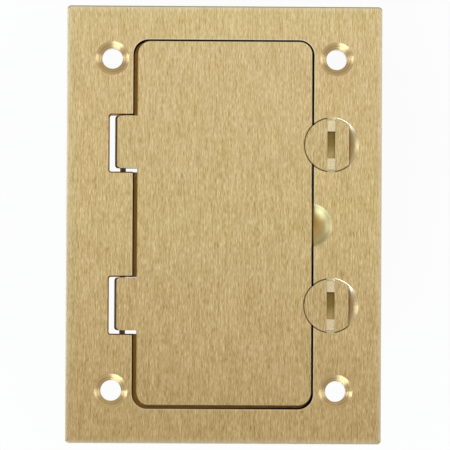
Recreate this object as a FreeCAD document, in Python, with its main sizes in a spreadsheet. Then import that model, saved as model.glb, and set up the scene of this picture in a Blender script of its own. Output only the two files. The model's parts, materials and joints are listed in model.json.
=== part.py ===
import FreeCAD, Part
import math
import os
import re

import Sketcher
from FreeCAD import Vector

# A brass one-gang floor cover: a flange plate with a hinged flap, two coin-slot turn
# latches, and a duplex receptacle that hangs under the plate's web.
# X runs across the cover, away from the hinge; Y runs along it; Z is up.
# The origin is the middle of the seating plane under the floor gasket.

# Every driving size, in millimetres and degrees.
SIZES = {
    # cover plate
    "plate_width": 82.5,
    "plate_length": 114.5,
    "plate_thickness": 6.0,
    "plate_corner": 1.0,
    "edge_break": 0.3,
    "web_thickness": 2.0,
    # pocket that the flap lies in
    "pocket_width": 47.45,
    "pocket_length": 96.7,
    "pocket_shift_x": -0.225,
    "pocket_shift_y": 0.1,
    "pocket_corner": 4.0,
    # fixing holes
    "fixing_spacing_x": 58.8,
    "fixing_spacing_y": 87.0,
    "fixing_radius": 2.7,
    "countersink_radius": 4.42,
    "countersink_angle": 82.0,
    # finger scoop
    "scoop_radius": 5.7,
    "scoop_depth": 3.2,
    "scoop_inset": 0.9,
    # flap
    "lid_thickness": 3.0,
    "lid_corner": 3.4,
    "lid_edge_break": 0.2,
    "gap_hinge_side": 1.15,
    "gap_latch_side": 0.45,
    "gap_top": 0.3,
    "gap_bottom": 0.95,
    # hinge
    "hinge_spacing": 42.4,
    "notch_length": 14.9,
    "notch_reach": 6.1,
    "notch_corner": 0.5,
    "notch_edge_break": 0.3,
    "keeper_setback": 0.5,
    "pin_radius": 0.75,
    "pin_inset": 2.55,
    "pin_engagement": 3.2,
    "pin_running_clearance": 0.05,
    "knuckle_gap_top": 0.2,
    "knuckle_gap_bottom": 0.9,
    "knuckle_radius": 2.1,
    "knuckle_round": 0.8,
    # pin keepers
    "keeper_length": 10.1,
    "keeper_width": 6.0,
    "keeper_overhang": 1.6,
    "keeper_thickness": 1.5,
    "keeper_screw_inset": 2.9,
    "keeper_screw_head_radius": 1.9,
    "keeper_screw_head_height": 0.9,
    "keeper_screw_radius": 1.0,
    "keeper_screw_length": 4.0,
    "keeper_slot_width": 0.5,
    "keeper_slot_depth": 0.45,
    # turn latches
    "latch_spacing": 42.1,
    "latch_offset": 4.5,
    "latch_head_radius": 6.9,
    "latch_head_clearance": 0.35,
    "latch_seat_angle": 120.0,
    "latch_land": 0.1,
    "latch_flat": 4.65,
    "coin_slot_width": 2.05,
    "coin_slot_depth": 0.35,
    "coin_well_length": 7.1,
    "coin_well_depth": 1.5,
    "stem_radius": 2.5,
    "stem_running_clearance": 0.05,
    "stem_recess": 0.15,
    "seal_width": 0.8,
    "seal_clearance": 0.1,
    "seal_round": 0.3,
    "well_radius": 4.0,
    "well_depth": 1.7,
    "spring_radius": 3.8,
    "spring_stock": 0.25,
    "spring_rise": 0.3,
    "spring_clearance": 0.05,
    "clip_radius": 3.6,
    "clip_thickness": 0.5,
    "clip_groove": 0.6,
    "clip_gap": 2.4,
    # gaskets
    "gasket_thickness": 1.0,
    "gasket_margin": 1.0,
    "gasket_hole_clearance": 0.3,
    "gasket_opening_width": 62.0,
    "lid_gasket_band": 3.4,
    "lid_gasket_clearance": 0.05,
    "lid_gasket_setback": 1.0,
    "strap_clearance": 1.0,
    # receptacle
    "face_width": 33.0,
    "face_length": 66.6,
    "face_corner": 3.0,
    "face_edge_break": 0.5,
    "face_stand": 0.4,
    "face_clearance": 0.25,
    "flange_thickness": 2.0,
    "housing_width": 36.0,
    "housing_length": 75.0,
    "housing_depth": 23.8,
    "housing_corner": 2.0,
    "outlet_spacing": 38.9,
    "blade_rise": 4.5,
    "ground_drop": 7.4,
    "blade_spacing": 12.7,
    "blade_slot_width": 1.9,
    "hot_slot_length": 7.0,
    "neutral_slot_length": 8.7,
    "ground_hole_radius": 2.6,
    # mounting strap and its screws
    "strap_thickness": 1.2,
    "strap_width": 40.0,
    "strap_corner": 1.5,
    "ear_width": 22.0,
    "ear_reach": 9.2,
    "strap_screw_spacing": 83.3,
    "strap_screw_radius": 1.75,
    "strap_screw_head_radius": 3.4,
    "strap_screw_length": 9.5,
    "driver_slot_width": 0.9,
    "driver_slot_depth": 0.7,
    # device screws, up from the back of the housing into the strap
    "device_screw_spacing_x": 22.0,
    "device_screw_inset": 1.9,
    "device_screw_radius": 1.1,
    "device_screw_head_radius": 2.2,
    "device_screw_head_height": 1.3,
    # contacts
    "cavity_depth": 15.8,
    "contact_stock": 0.7,
    "blade_thickness": 1.5,
    "contact_length": 6.6,
    "contact_height": 12.5,
    "cavity_clearance": 0.3,
    "bridge_width": 9.0,
    "terminal_length": 28.0,
    "terminal_height": 12.0,
    "terminal_recess": 1.4,
    "sleeve_radius": 3.3,
    "sleeve_bore": 2.4,
    "ground_strip_width": 3.0,
    "ground_tab_height": 10.0,
    "ground_tab_width": 8.0,
    # terminal screws and clamps
    "terminal_screw_spacing": 15.0,
    "terminal_screw_rise": 6.0,
    "terminal_screw_radius": 1.6,
    "terminal_screw_grip": 3.6,
    "terminal_head_radius": 3.6,
    "terminal_head_height": 2.0,
    "clamp_size": 8.4,
    "clamp_thickness": 1.2,
}

# Levels and places that follow from the sizes. Each is a formula in the names above
# and in the names that come before it here.
PLACES = {
    "plate_bottom": "gasket_thickness",
    "plate_top": "plate_bottom + plate_thickness",
    "web_top": "plate_bottom + web_thickness",
    "lid_bottom": "plate_top - lid_thickness",
    "pocket_depth": "plate_thickness - web_thickness",
    "scoop_ball": "(scoop_radius ^ 2 + scoop_depth ^ 2) / (2 * scoop_depth)",
    "pocket_left": "pocket_shift_x - pocket_width / 2",
    "pocket_right": "pocket_shift_x + pocket_width / 2",
    "lid_width": "pocket_width - gap_hinge_side - gap_latch_side",
    "lid_length": "pocket_length - gap_top - gap_bottom",
    "lid_x": "pocket_shift_x + gap_hinge_side / 2 - gap_latch_side / 2",
    "lid_y": "pocket_shift_y + gap_bottom / 2 - gap_top / 2",
    "pin_x": "pocket_left - pin_inset",
    "pin_z": "plate_top - lid_thickness / 2",
    "pin_length": "notch_length + 2 * pin_engagement",
    "notch_left": "pocket_left - notch_reach",
    "notch_right": "pocket_left + gap_hinge_side + notch_corner",
    "knuckle_length": "notch_length - knuckle_gap_top - knuckle_gap_bottom",
    "knuckle_shift": "knuckle_gap_bottom / 2 - knuckle_gap_top / 2",
    "keeper_top": "plate_bottom + keeper_thickness",
    "keeper_left": "pin_x + keeper_overhang - keeper_length",
    "keeper_screw_x": "keeper_left + keeper_screw_inset",
    "keeper_shift": "notch_length / 2 + keeper_width / 2 + keeper_setback",
    "latch_x": "pocket_right + latch_offset",
    "seat_slope": "1 / tan(latch_seat_angle / 2 * 1 deg)",
    "seat_radius": "latch_head_radius + latch_head_clearance",
    "seal_outer": "stem_radius + seal_width",
    "gland_radius": "seal_outer + seal_clearance",
    "seat_bottom": "plate_top - (seat_radius - gland_radius) * seat_slope",
    "head_edge": "plate_top - latch_land",
    "head_bottom": "head_edge - (latch_head_radius - seal_outer) * seat_slope",
    "gland_floor": "head_bottom - seal_width - spring_clearance",
    "bore_radius": "stem_radius + stem_running_clearance",
    "well_top": "plate_bottom + well_depth",
    "stem_bottom": "plate_bottom + stem_recess",
    "spring_top": "well_top - spring_clearance",
    "clip_top": "spring_top - spring_rise - spring_stock",
    "clip_bottom": "clip_top - clip_thickness",
    "groove_radius": "stem_radius - clip_groove",
    "strap_top": "plate_bottom",
    "strap_bottom": "strap_top - strap_thickness",
    "flange_bottom": "strap_bottom - flange_thickness",
    "housing_bottom": "flange_bottom - housing_depth",
    "strap_length": "housing_length",
    "ear_length": "strap_length + 2 * ear_reach",
    "opening_width": "face_width + 2 * face_clearance",
    "opening_length": "face_length + 2 * face_clearance",
    "opening_corner": "face_corner + face_clearance",
    "gasket_opening_length": "strap_length + 2 * strap_clearance",
    "device_screw_spacing_y": "housing_length - 2 * device_screw_inset",
    "cavity_floor": "flange_bottom - cavity_depth",
    "blade_x": "blade_spacing / 2",
    "contact_outer": "blade_thickness + 2 * contact_stock",
    "terminal_face": "housing_width / 2 - terminal_recess",
    "terminal_z": "cavity_floor + terminal_screw_rise",
    "upper_blades_y": "outlet_spacing / 2 + blade_rise",
    "lower_blades_y": "blade_rise - outlet_spacing / 2",
    "upper_ground_y": "outlet_spacing / 2 - ground_drop",
    "lower_ground_y": "-outlet_spacing / 2 - ground_drop",
    "rail_length": "outlet_spacing + contact_length",
    "ground_wall": "housing_length / 2 - terminal_recess",
}

doc = FreeCAD.newDocument("floor_socket_box")
sheet = doc.addObject("Spreadsheet::Sheet", "Sizes")
for row, (alias, size) in enumerate(SIZES.items(), start=1):
    sheet.set(f"A{row}", alias)
    sheet.set(f"B{row}", str(size))
    sheet.setAlias(f"B{row}", alias)
doc.recompute()

WORD = re.compile(r"[a-z][a-z_]*[a-z]")


def formula(text):
    """Spell a formula out in the sheet's own cells."""

    def spell(match):
        word = match.group()
        if word in PLACES:
            return "(" + formula(PLACES[word]) + ")"
        return "Sizes." + word if word in SIZES else word

    return WORD.sub(spell, str(text))


def bind(thing, path, text):
    thing.setExpression(path, formula(text))


pieces = []


def new_body(name):
    body = doc.addObject("PartDesign::Body", name)
    body.AllowCompound = True
    pieces.append(body)
    return body


def new_sketch(body, level="0", role="XY_Plane"):
    """A sketch on one of the body's own origin planes, lifted along its normal."""
    sketch = body.newObject("Sketcher::SketchObject", body.Name + "_sketch")
    plane = next(f for f in body.Origin.OriginFeatures if f.Role == role)
    sketch.AttachmentSupport = [(plane, "")]
    sketch.MapMode = "FlatFace"
    bind(sketch, "AttachmentOffset.Base.z", level)
    return sketch


def constrain(sketch, kind, places, text, start):
    index = sketch.addConstraint(Sketcher.Constraint(kind, *places, start))
    bind(sketch, f"Constraints[{index}]", text)


def place_point(sketch, geometry, point, x, y, start):
    constrain(sketch, "DistanceX", (-1, 1, geometry, point), x, start.x)
    constrain(sketch, "DistanceY", (-1, 1, geometry, point), y, start.y)


def draw_polygon(sketch, points):
    count = len(points)
    turns = [2 * math.pi * k / count for k in range(count)]
    starts = [Vector(10 * math.cos(t), 10 * math.sin(t), 0) for t in turns]
    sides = [
        sketch.addGeometry(Part.LineSegment(starts[k], starts[(k + 1) % count]), False)
        for k in range(count)
    ]
    for k, side in enumerate(sides):
        sketch.addConstraint(Sketcher.Constraint("Coincident", side, 2, sides[(k + 1) % count], 1))
    for side, start, (x, y) in zip(sides, starts, points):
        place_point(sketch, side, 1, x, y, start)


def draw_box(sketch, x, y, width, length):
    """A rectangle by its middle and its two sides."""
    left = f"({x}) - ({width}) / 2"
    right = f"({x}) + ({width}) / 2"
    low = f"({y}) - ({length}) / 2"
    high = f"({y}) + ({length}) / 2"
    draw_polygon(sketch, [(left, low), (right, low), (right, high), (left, high)])


def draw_circle(sketch, x, y, radius):
    start = Vector(3, 4, 0)
    circle = sketch.addGeometry(Part.Circle(start, Vector(0, 0, 1), 2), False)
    place_point(sketch, circle, 3, x, y, start)
    constrain(sketch, "Radius", (circle,), radius, 2)


def add_feature(body, kind, sketch):
    feature = body.newObject("PartDesign::" + kind, body.Name + "_" + kind.lower())
    feature.Profile = sketch
    return feature


def pad(body, sketch, length):
    """Add material from the sketch up its normal."""
    feature = add_feature(body, "Pad", sketch)
    bind(feature, "Length", length)
    doc.recompute()


def pocket(body, sketch, depth, upward=False):
    """Cut down from the sketch, or up from it, and make sure that it cut something."""
    before = body.Shape.Volume
    feature = add_feature(body, "Pocket", sketch)
    feature.Reversed = upward
    bind(feature, "Length", depth)
    doc.recompute()
    if body.Shape.Volume > before - 0.001:
        raise RuntimeError(feature.Name + " cuts nothing")


def spin(body, kind, sketch):
    """Revolve or groove the sketch about its own upright axis."""
    feature = add_feature(body, kind, sketch)
    feature.ReferenceAxis = (sketch, ["V_Axis"])
    feature.Angle = 360
    doc.recompute()


def soften(body, kind, size, wanted):
    """Fillet or chamfer each edge of the body's tip that the test picks."""
    tip = body.Tip
    names = [f"Edge{k}" for k, edge in enumerate(tip.Shape.Edges, start=1) if wanted(edge)]
    feature = body.newObject("PartDesign::" + kind, body.Name + "_" + kind.lower())
    feature.Base = (tip, names)
    bind(feature, "Radius" if kind == "Fillet" else "Size", size)
    doc.recompute()


def upright(edge):
    box = edge.BoundBox
    return max(box.XLength, box.YLength) < 0.01 < box.ZLength


def level_of(body):
    return body.Shape.BoundBox.ZMax


def in_top(body):
    top = level_of(body)
    return lambda edge: edge.BoundBox.ZMin > top - 0.01


def block(name, x, y, bottom, width, length, height, corner=None):
    """A flat-bottomed block, with its upright edges rounded if a corner is given."""
    body = new_body(name)
    sketch = new_sketch(body, bottom)
    draw_box(sketch, x, y, width, length)
    pad(body, sketch, height)
    if corner:
        soften(body, "Fillet", corner, upright)
    return body


def cut_box(body, x, y, level, width, length, depth, upward=False):
    sketch = new_sketch(body, level)
    draw_box(sketch, x, y, width, length)
    pocket(body, sketch, depth, upward)


def cut_holes(body, places, level, radius, depth, upward=False):
    sketch = new_sketch(body, level)
    for x, y in places:
        draw_circle(sketch, x, y, radius)
    pocket(body, sketch, depth, upward)


def add_box(body, x, y, level, width, length, height):
    sketch = new_sketch(body, level)
    draw_box(sketch, x, y, width, length)
    pad(body, sketch, height)


def add_discs(body, places, level, radius, height, role="XY_Plane"):
    sketch = new_sketch(body, level, role)
    for x, y in places:
        draw_circle(sketch, x, y, radius)
    pad(body, sketch, height)


def turned(name, profile, x="0", y="0"):
    """A turned piece: a closed profile of radius and height, spun about an upright axis."""
    body = new_body(name)
    bind(body, "Placement.Base.x", x)
    bind(body, "Placement.Base.y", y)
    sketch = new_sketch(body, role="XZ_Plane")
    draw_polygon(sketch, profile)
    spin(body, "Revolution", sketch)
    return body


def turn_out(body, x, y, profile):
    """Cut a turned hollow, given as radius and height, about an upright axis."""
    before = body.Shape.Volume
    sketch = new_sketch(body, f"-({y})", "XZ_Plane")
    bind(sketch, "AttachmentOffset.Base.x", x)
    draw_polygon(sketch, profile)
    spin(body, "Groove", sketch)
    if body.Shape.Volume > before - 0.001:
        raise RuntimeError(body.Name + " has a groove that cuts nothing")


def rounded_pocket(body, x, y, level, width, length, depth, corner, upward=False):
    """A pocket with round corners, cut as a cross of boxes and four corner cylinders."""
    wide = f"({width}) - 2 * ({corner})"
    tall = f"({length}) - 2 * ({corner})"
    cut_box(body, x, y, level, wide, length, depth, upward)
    cut_box(body, x, y, level, width, tall, depth, upward)
    corners = [
        (f"({x}) + {i} * ({wide}) / 2", f"({y}) + {j} * ({tall}) / 2")
        for i in (-1, 1)
        for j in (-1, 1)
    ]
    cut_holes(body, corners, level, corner, depth, upward)


def four_places(spacing_x, spacing_y):
    return [
        (f"{i} * {spacing_x} / 2", f"{j} * {spacing_y} / 2")
        for i in (-1, 1)
        for j in (-1, 1)
    ]


# The two ends of the cover, upper and lower, as signs along Y.
ENDS = {"upper": 1, "lower": -1}
FIXINGS = four_places("fixing_spacing_x", "fixing_spacing_y")
KEEPERS = [
    f"{end} * hinge_spacing / 2 + {side} * keeper_shift"
    for end in (-1, 1)
    for side in (-1, 1)
]
DEVICE_SCREWS = four_places("device_screw_spacing_x", "device_screw_spacing_y")
STRAP_SCREWS = [("0", f"{end} * strap_screw_spacing / 2") for end in (-1, 1)]


# ---- cover plate
plate = block(
    "cover_plate", "0", "0", "plate_bottom", "plate_width", "plate_length",
    "plate_thickness", "plate_corner",
)
soften(plate, "Chamfer", "edge_break", in_top(plate))
rounded_pocket(
    plate, "pocket_shift_x", "pocket_shift_y", "plate_top", "pocket_width",
    "pocket_length", "pocket_depth", "pocket_corner",
)
rounded_pocket(
    plate, "0", "0", "web_top", "opening_width", "opening_length", "web_thickness",
    "opening_corner",
)
for end in ENDS.values():
    middle = f"{end} * hinge_spacing / 2"
    # the notch goes right through, and runs under the flap's edge
    rounded_pocket(
        plate, "(notch_left + notch_right) / 2", middle, "plate_top",
        "notch_right - notch_left", "notch_length", "plate_thickness", "notch_corner",
    )


def on_notch_rim(edge):
    """True on the notches' upper edges, all but the open side towards the pocket."""
    middle = edge.CenterOfMass
    pocket_left = SIZES["pocket_shift_x"] - SIZES["pocket_width"] / 2
    past_hinge = abs(abs(middle.y) - SIZES["hinge_spacing"] / 2)
    return (
        middle.z > level_of(plate) - 0.01
        and middle.x < pocket_left - 0.01
        and past_hinge < SIZES["notch_length"] / 2 + 0.01
    )


soften(plate, "Chamfer", "notch_edge_break", on_notch_rim)
for end in ENDS.values():
    middle = f"{end} * hinge_spacing / 2"
    # groove for the hinge pin, milled from below and round at its top
    cut_box(
        plate, "pin_x", middle, "plate_bottom", "2 * pin_radius", "pin_length",
        "pin_z - plate_bottom", upward=True,
    )
    groove = new_sketch(plate, f"-({middle}) - pin_length / 2", "XZ_Plane")
    draw_circle(groove, "pin_x", "pin_z", "pin_radius")
    pocket(plate, groove, "pin_length", upward=True)

# recesses for the pin keepers and the threads of their screws
for y in KEEPERS:
    cut_box(
        plate, "keeper_left + keeper_length / 2", y, "plate_bottom", "keeper_length",
        "keeper_width", "keeper_thickness", upward=True,
    )
cut_holes(
    plate, [("keeper_screw_x", y) for y in KEEPERS], "plate_bottom",
    "keeper_screw_radius", "keeper_screw_head_height + keeper_screw_length", upward=True,
)

# seats of the turn latches: cone, seal gland, bore and the well underneath
LATCHES = [("latch_x", f"{end} * latch_spacing / 2") for end in ENDS.values()]
SEAT_CONE = [("gland_radius", "seat_bottom"), ("seat_radius", "plate_top"), ("0", "plate_top")]
for x, y in LATCHES:
    turn_out(
        plate, x, y,
        [
            ("0", "plate_bottom"),
            ("well_radius", "plate_bottom"),
            ("well_radius", "well_top"),
            ("bore_radius", "well_top"),
            ("bore_radius", "gland_floor"),
            ("gland_radius", "gland_floor"),
            *SEAT_CONE,
        ],
    )

# finger scoop: a ball's cap, just deeper than the flap's underside
solid_volume = plate.Shape.Volume
scoop = plate.newObject("PartDesign::SubtractiveSphere", "finger_scoop")
bind(scoop, "Radius", "scoop_ball")
bind(scoop, "Placement.Base.x", "pocket_right - scoop_inset")
bind(scoop, "Placement.Base.z", "plate_top - scoop_depth + scoop_ball")
doc.recompute()
if plate.Shape.Volume > solid_volume - 0.001:
    raise RuntimeError("the finger scoop cuts nothing")

# holes for the strap screws and for the floor fixings
for places, through, head, cone_depth in (
    (STRAP_SCREWS, "strap_screw_radius", "strap_screw_head_radius", "web_top"),
    (FIXINGS, "fixing_radius", "countersink_radius", "plate_top"),
):
    sketch = new_sketch(plate, cone_depth)
    for x, y in places:
        draw_circle(sketch, x, y, through)
    doc.recompute()
    hole = add_feature(plate, "Hole", sketch)
    doc.recompute()
    hole.DepthType = "ThroughAll"
    hole.Threaded = False
    bind(hole, "Diameter", f"2 * {through}")
    hole.HoleCutType = "Countersink"
    hole.HoleCutCustomValues = True
    bind(hole, "HoleCutDiameter", f"2 * {head}")
    bind(hole, "HoleCutCountersinkAngle", "countersink_angle")
    doc.recompute()

# ---- flap
lid = block(
    "lid", "lid_x", "lid_y", "lid_bottom", "lid_width", "lid_length",
    "lid_thickness", "lid_corner",
)
soften(lid, "Chamfer", "lid_edge_break", in_top(lid))
inside_lid = "lid_x - lid_width / 2 + lid_edge_break"
KNUCKLES = [f"{end} * hinge_spacing / 2 + knuckle_shift" for end in ENDS.values()]
for middle in KNUCKLES:
    # barrel round the pin, with its rims rounded
    add_discs(
        lid, [("pin_x", "pin_z")], f"-({middle}) - knuckle_length / 2", "knuckle_radius",
        "knuckle_length", "XZ_Plane",
    )
barrel_right = lid.Shape.BoundBox.XMin + 2 * SIZES["knuckle_radius"] + 0.01
soften(
    lid, "Fillet", "knuckle_round",
    lambda edge: edge.BoundBox.XMax < barrel_right and edge.BoundBox.YLength < 0.01,
)
for middle in KNUCKLES:
    # leaf that joins the barrel to the flap
    add_box(
        lid, f"(pin_x + {inside_lid}) / 2", middle, "lid_bottom",
        f"{inside_lid} - pin_x", "knuckle_length", "lid_thickness",
    )
# the barrels are milled flush with both faces of the flap
for level, upward in (("plate_top", True), ("lid_bottom", False)):
    cut_box(
        lid, "pin_x", "lid_y", level, "2 * knuckle_radius", "lid_length",
        "knuckle_radius", upward,
    )
bore = new_sketch(lid, "-lid_length / 2", "XZ_Plane")
draw_circle(bore, "pin_x", "pin_z", "pin_radius + pin_running_clearance")
pocket(lid, bore, "lid_length", upward=True)
for x, y in LATCHES:
    turn_out(lid, x, y, [("0", "seat_bottom"), *SEAT_CONE])

# ---- hinge pins, keepers and keeper screws
for name, end in ENDS.items():
    pin = new_body(f"hinge_pin_{name}")
    top = f"-({end} * hinge_spacing / 2) - pin_length / 2"
    sketch = new_sketch(pin, top, "XZ_Plane")
    draw_circle(sketch, "pin_x", "pin_z", "pin_radius")
    pad(pin, sketch, "pin_length")

keepers = new_body("pin_keepers")
for y in KEEPERS:
    add_box(
        keepers, "keeper_left + keeper_length / 2", y, "plate_bottom", "keeper_length",
        "keeper_width", "keeper_thickness",
    )
# tongues that fill the groove up to the pin
for end in ENDS.values():
    for side in (-1, 1):
        past_notch = f"{side} * (notch_length + keeper_setback + pin_engagement) / 2"
        add_box(
            keepers, "pin_x", f"{end} * hinge_spacing / 2 + {past_notch}", "keeper_top",
            "2 * pin_radius", "pin_engagement - keeper_setback",
            "pin_z - pin_radius - keeper_top",
        )
KEEPER_SCREWS = [("keeper_screw_x", y) for y in KEEPERS]
cut_holes(
    keepers, KEEPER_SCREWS, "plate_bottom", "keeper_screw_head_radius",
    "keeper_screw_head_height", upward=True,
)
cut_holes(
    keepers, KEEPER_SCREWS, "plate_bottom", "keeper_screw_radius", "keeper_thickness",
    upward=True,
)

keeper_screws = new_body("keeper_screws")
add_discs(
    keeper_screws, KEEPER_SCREWS, "plate_bottom", "keeper_screw_head_radius",
    "keeper_screw_head_height",
)
add_discs(
    keeper_screws, KEEPER_SCREWS, "plate_bottom + keeper_screw_head_height",
    "keeper_screw_radius", "keeper_screw_length",
)
for x, y in KEEPER_SCREWS:
    cut_box(
        keeper_screws, x, y, "plate_bottom", "keeper_slot_width",
        "2 * keeper_screw_head_radius", "keeper_slot_depth", upward=True,
    )

# ---- turn latches, each with its seal, disc spring and clip
for name, end in ENDS.items():
    x = "latch_x"
    y = f"{end} * latch_spacing / 2"
    latch = turned(
        f"latch_{name}",
        [
            ("0", "stem_bottom"),
            ("stem_radius", "stem_bottom"),
            ("stem_radius", "clip_bottom"),
            ("groove_radius", "clip_bottom"),
            ("groove_radius", "clip_top"),
            ("stem_radius", "clip_top"),
            ("stem_radius", "head_bottom"),
            ("seal_outer", "head_bottom"),
            ("latch_head_radius", "head_edge"),
            ("latch_head_radius", "plate_top"),
            ("0", "plate_top"),
        ],
        x, y,
    )
    # the flat that lets the flap past once the head is turned round
    cut_box(
        latch, "latch_flat + latch_head_radius / 2", "0", "plate_top",
        "latch_head_radius", "2 * latch_head_radius", "plate_top - head_bottom",
    )
    # coin slot: shallow right across, and a deeper well in the middle
    cut_box(
        latch, "0", "0", "plate_top", "coin_slot_width", "2 * latch_head_radius",
        "coin_slot_depth",
    )
    cut_box(
        latch, "0", "0", "plate_top", "coin_slot_width", "coin_well_length",
        "coin_well_depth",
    )

    turned(
        f"latch_seal_{name}",
        [
            ("stem_radius", "head_bottom - seal_width"),
            ("seal_outer - seal_round", "head_bottom - seal_width"),
            ("seal_outer", "head_bottom - seal_width + seal_round"),
            ("seal_outer", "head_bottom - seal_round"),
            ("seal_outer - seal_round", "head_bottom"),
            ("stem_radius", "head_bottom"),
        ],
        x, y,
    )
    turned(
        f"latch_spring_{name}",
        [
            ("stem_radius", "clip_top"),
            ("spring_radius", "spring_top - spring_stock"),
            ("spring_radius", "spring_top"),
            ("stem_radius", "clip_top + spring_stock"),
        ],
        x, y,
    )
    clip = turned(
        f"latch_clip_{name}",
        [
            ("groove_radius", "clip_bottom"),
            ("clip_radius", "clip_bottom"),
            ("clip_radius", "clip_top"),
            ("groove_radius", "clip_top"),
        ],
        x, y,
    )
    cut_box(
        clip, "-clip_radius / 2", "0", "clip_top", "clip_radius", "clip_gap",
        "clip_thickness",
    )

# ---- gaskets
band = "2 * lid_gasket_setback"
lid_gasket = block(
    "lid_gasket", "0", "0", "web_top", f"opening_width + {band} + 2 * lid_gasket_band",
    f"opening_length + {band} + 2 * lid_gasket_band",
    "lid_bottom - web_top - lid_gasket_clearance",
    "opening_corner + lid_gasket_setback + lid_gasket_band",
)
rounded_pocket(
    lid_gasket, "0", "0", "lid_bottom", f"opening_width + {band}",
    f"opening_length + {band}", "lid_bottom - web_top",
    "opening_corner + lid_gasket_setback",
)

floor_gasket = block(
    "floor_gasket", "0", "0", "0", "plate_width - 2 * gasket_margin",
    "plate_length - 2 * gasket_margin", "gasket_thickness", "plate_corner",
)
cut_box(
    floor_gasket, "0", "0", "gasket_thickness", "gasket_opening_width",
    "gasket_opening_length", "gasket_thickness",
)
cut_box(
    floor_gasket, "0", "0", "gasket_thickness", "ear_width + 2 * strap_clearance",
    "ear_length + 2 * strap_clearance", "gasket_thickness",
)
cut_holes(
    floor_gasket, FIXINGS, "gasket_thickness", "fixing_radius + gasket_hole_clearance",
    "gasket_thickness",
)

# ---- mounting strap and the screws that hang it from the web
strap = block(
    "mounting_strap", "0", "0", "strap_bottom", "strap_width", "strap_length",
    "strap_thickness",
)
add_box(strap, "0", "0", "strap_bottom", "ear_width", "ear_length", "strap_thickness")
soften(strap, "Fillet", "strap_corner", upright)
rounded_pocket(
    strap, "0", "0", "strap_top", "opening_width", "opening_length", "strap_thickness",
    "opening_corner",
)
cut_holes(strap, STRAP_SCREWS, "strap_top", "strap_screw_radius", "strap_thickness")
cut_holes(strap, DEVICE_SCREWS, "strap_top", "device_screw_radius", "strap_thickness")

cone = "(strap_screw_head_radius - strap_screw_radius) / tan(countersink_angle / 2 * 1 deg)"
strap_screws = new_body("strap_screws")
sketch = new_sketch(strap_screws, "strap_screw_spacing / 2", "XZ_Plane")
draw_polygon(
    sketch,
    [
        ("0", "web_top"),
        ("strap_screw_head_radius", "web_top"),
        ("strap_screw_radius", f"web_top - {cone}"),
        ("strap_screw_radius", "web_top - strap_screw_length"),
        ("0", "web_top - strap_screw_length"),
    ],
)
spin(strap_screws, "Revolution", sketch)
row = strap_screws.newObject("PartDesign::LinearPattern", "strap_screw_row")
row.Originals = [strap_screws.Tip]
row.Direction = (
    next(f for f in strap_screws.Origin.OriginFeatures if f.Role == "Y_Axis"), [""],
)
bind(row, "Length", "strap_screw_spacing")
row.Occurrences = 2
strap_screws.Tip = row
doc.recompute()
for x, y in STRAP_SCREWS:
    cut_box(
        strap_screws, x, y, "web_top", "2 * strap_screw_head_radius",
        "driver_slot_width", "driver_slot_depth",
    )

# ---- receptacle: face, housing and the screws that clamp both to the strap
UPPER_AND_LOWER_BLADES = ("upper_blades_y", "lower_blades_y")
GROUND_HOLES = [("0", "upper_ground_y"), ("0", "lower_ground_y")]
face_top = "web_top + face_stand"

face = block(
    "receptacle_face", "0", "0", "strap_bottom", "face_width", "face_length",
    f"{face_top} - strap_bottom", "face_corner",
)
soften(face, "Chamfer", "face_edge_break", in_top(face))
add_box(
    face, "0", "0", "flange_bottom", "housing_width", "housing_length",
    "flange_thickness",
)
for slot_x, slot_length in (
    ("blade_x", "hot_slot_length"),
    ("-blade_x", "neutral_slot_length"),
):
    for y in UPPER_AND_LOWER_BLADES:
        cut_box(
            face, slot_x, y, face_top, "blade_slot_width", slot_length,
            f"{face_top} - flange_bottom",
        )
cut_holes(
    face, GROUND_HOLES, face_top, "ground_hole_radius", f"{face_top} - flange_bottom"
)
cut_holes(face, DEVICE_SCREWS, "strap_bottom", "device_screw_radius", "flange_thickness")

housing = block(
    "receptacle_housing", "0", "0", "housing_bottom", "housing_width",
    "housing_length", "housing_depth", "housing_corner",
)
cut_holes(housing, DEVICE_SCREWS, "flange_bottom", "device_screw_radius", "housing_depth")
room = "2 * cavity_clearance"
bridge_room = "contact_stock + cavity_clearance"
terminal_room = "terminal_height + cavity_clearance"
for side in (-1, 1):
    # cavity for a contact, the way out for its bridge and the well of its terminals
    cut_box(
        housing, f"{side} * blade_x", "blade_rise", "flange_bottom",
        f"contact_outer + {room}", f"rail_length + {room}", "cavity_depth",
    )
    cut_box(
        housing, f"{side} * (blade_x + terminal_face) / 2", "0",
        f"cavity_floor + {bridge_room}", "terminal_face - blade_x",
        f"bridge_width + {room}", bridge_room,
    )
    cut_box(
        housing, f"{side} * (terminal_face + terminal_recess / 2)", "0",
        f"cavity_floor + {terminal_room}", "terminal_recess",
        f"terminal_length + {room}", terminal_room,
    )
    threads = new_sketch(housing, f"{side} * terminal_face", "YZ_Plane")
    for end in (-1, 1):
        draw_circle(
            threads, f"{end} * terminal_screw_spacing / 2", "terminal_z",
            "terminal_screw_radius",
        )
    pocket(housing, threads, "terminal_screw_grip", upward=side < 0)

# round wells for the ground sleeves, the channel that joins them, the end well
cut_holes(
    housing, GROUND_HOLES, "flange_bottom", "sleeve_radius + cavity_clearance",
    "cavity_depth",
)
cut_box(
    housing, "0", "(upper_ground_y - ground_wall) / 2", f"cavity_floor + {bridge_room}",
    f"ground_strip_width + {room}", "upper_ground_y + ground_wall", bridge_room,
)
cut_box(
    housing, "0", "-(ground_wall + terminal_recess / 2)",
    "cavity_floor + ground_tab_height + cavity_clearance", f"ground_tab_width + {room}",
    "terminal_recess", "ground_tab_height + cavity_clearance",
)
threads = new_sketch(housing, "ground_wall", "XZ_Plane")
draw_circle(threads, "0", "terminal_z", "terminal_screw_radius")
pocket(housing, threads, "terminal_screw_grip")

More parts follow.
